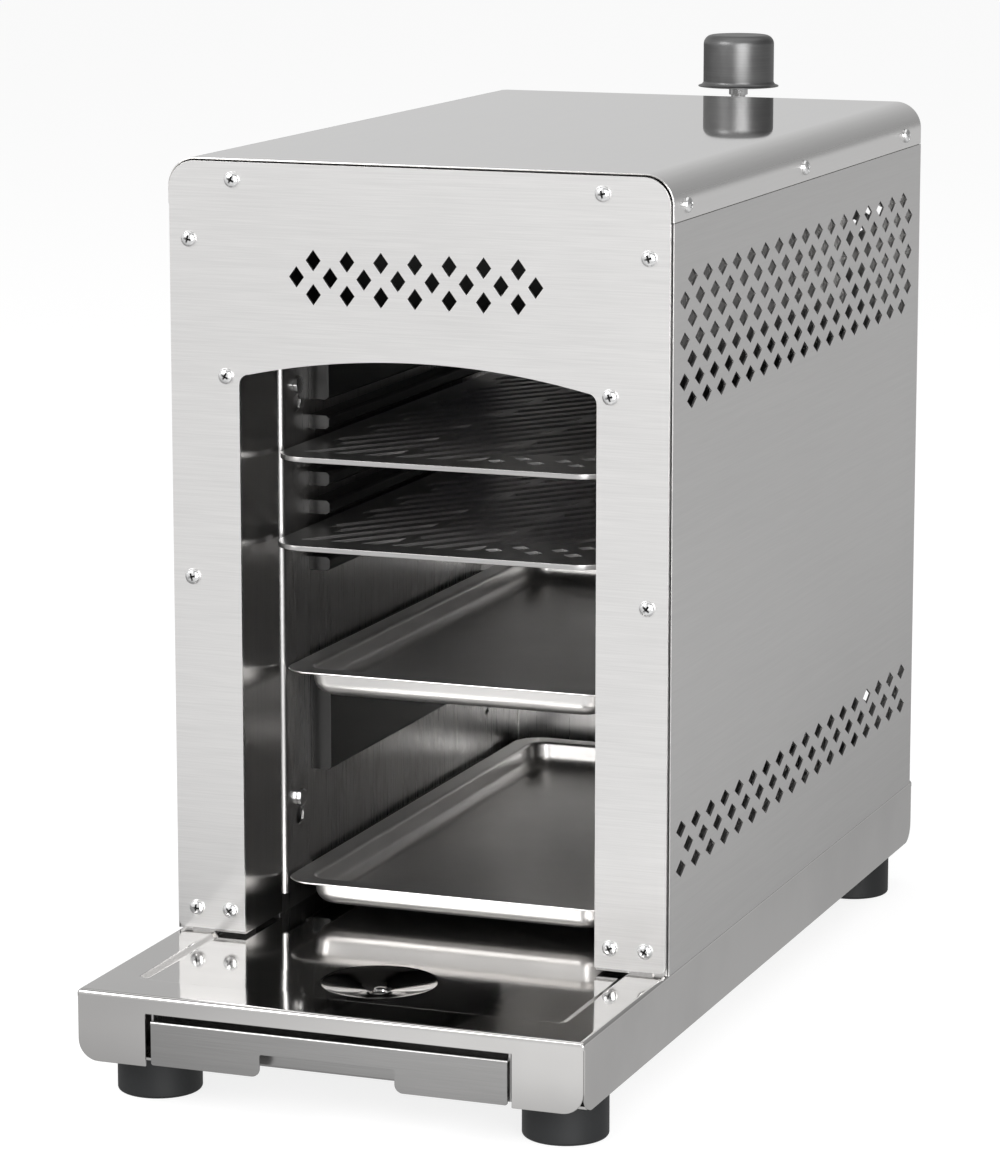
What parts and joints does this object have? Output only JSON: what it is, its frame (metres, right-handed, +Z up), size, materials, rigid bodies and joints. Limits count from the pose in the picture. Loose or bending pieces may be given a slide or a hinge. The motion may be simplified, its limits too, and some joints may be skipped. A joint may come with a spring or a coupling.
{
  "type": "infrared steak grill",
  "caption": "Narrow upright stainless gas grill with an arched front, slide-in grates and trays, a grease drawer and a knob behind the case.",
  "frame": {"origin": "on the table plane under the middle of the whole grill's bounding box", "axes": "+Z up, -Y towards the open front, +X to the right as seen from the front"},
  "size_m": [0.2556, 0.6258, 0.4594],
  "materials": {
    "brushed_face": "stainless sheet brushed along its width",
    "bright_sheet": "bright annealed stainless sheet with soft reflections",
    "satin_sheet": "satin stainless sheet",
    "chamber_sheet": "plain stainless sheet of the chamber",
    "grate_steel": "darker brushed stainless grate",
    "tray_steel": "drawn stainless tray",
    "burner_steel": "plain steel of the burner",
    "screw_steel": "bright steel fasteners",
    "foot_rubber": "black moulded rubber",
    "knob_chrome": "polished drawn cup",
    "knob_core": "black moulded hub",
    "stem_steel": "turned steel",
    "fitting_brass": "machined brass",
    "tile_ceramic": null,
    "lead_sleeve": "silicone sleeve"
  },
  "bodies": {
    "case": {"face_plate": "brushed_face", "base_pan": "bright_sheet", "top_cover": "bright_sheet", "side_panel_left": "satin_sheet", "side_panel_right": "satin_sheet", "rear_panel": "satin_sheet", "jamb_left": "satin_sheet", "jamb_right": "satin_sheet", "lintel": "satin_sheet", "top_rail_left": "satin_sheet", "top_rail_right": "satin_sheet", "drawer_runner_left": "satin_sheet", "drawer_runner_right": "satin_sheet", "valve_bracket": "satin_sheet", "electrode_bracket": "satin_sheet", "liner_left": "chamber_sheet", "liner_right": "chamber_sheet", "chamber_back": "chamber_sheet", "rack_left": "chamber_sheet", "rack_right": "chamber_sheet", "rack_rails_left": "chamber_sheet", "rack_rails_right": "chamber_sheet", "heat_shield": "chamber_sheet", "burner_housing": "burner_steel", "burner_guard": "burner_steel", "burner_rail_left": "burner_steel", "burner_rail_right": "burner_steel", "mixing_tube": "burner_steel", "face_plate_screws": "screw_steel", "cover_screws": "screw_steel", "bracket_screws": "screw_steel", "foot_screws": "screw_steel", "rack_studs": "screw_steel", "foot_front_left": "foot_rubber", "foot_front_right": "foot_rubber", "foot_rear_left": "foot_rubber", "foot_rear_right": "foot_rubber", "lead_grommet": "foot_rubber", "valve_nut": "stem_steel", "valve_body": "fitting_brass", "jet_nozzle": "fitting_brass", "gas_inlet": "fitting_brass", "ceramic_tile_front": "tile_ceramic", "ceramic_tile_rear": "tile_ceramic", "ignition_electrode": "tile_ceramic", "ignition_lead": "lead_sleeve"},
    "drawer": {"grease_drawer": "satin_sheet"},
    "grate_upper": {"grate_upper": "grate_steel"},
    "grate_lower": {"grate_lower": "grate_steel"},
    "tray_upper": {"tray_upper": "tray_steel"},
    "tray_lower": {"tray_lower": "tray_steel"},
    "press": {"stem_collar": "stem_steel"},
    "knob": {"knob_cup": "knob_chrome", "knob_hub": "knob_core", "valve_stem": "stem_steel"}
  },
  "joints": [
    {"name": "drawer_slide", "type": "slide", "parent": "case", "child": "drawer", "axis": [0, -1, 0], "range_m": [0, 0.16]},
    {"name": "grate_upper_slide", "type": "slide", "parent": "case", "child": "grate_upper", "axis": [0, -1, 0], "range_m": [0, 0.5]},
    {"name": "grate_lower_slide", "type": "slide", "parent": "case", "child": "grate_lower", "axis": [0, -1, 0], "range_m": [0, 0.5]},
    {"name": "tray_upper_slide", "type": "slide", "parent": "case", "child": "tray_upper", "axis": [0, -1, 0], "range_m": [0, 0.5]},
    {"name": "tray_lower_slide", "type": "slide", "parent": "case", "child": "tray_lower", "axis": [0, -1, 0], "range_m": [0, 0.5]},
    {"name": "knob_press", "type": "slide", "parent": "case", "child": "press", "axis": [0, 0, -1], "range_m": [0, 0.003], "stiffness_N_per_m": 1500, "springref_m": -0.003},
    {"name": "knob_turn", "type": "hinge", "parent": "press", "child": "knob", "pos_m": [0, 0.29055, 0.4316], "axis": [0, 0, 1], "range_deg": [0, 210]}
  ]
}
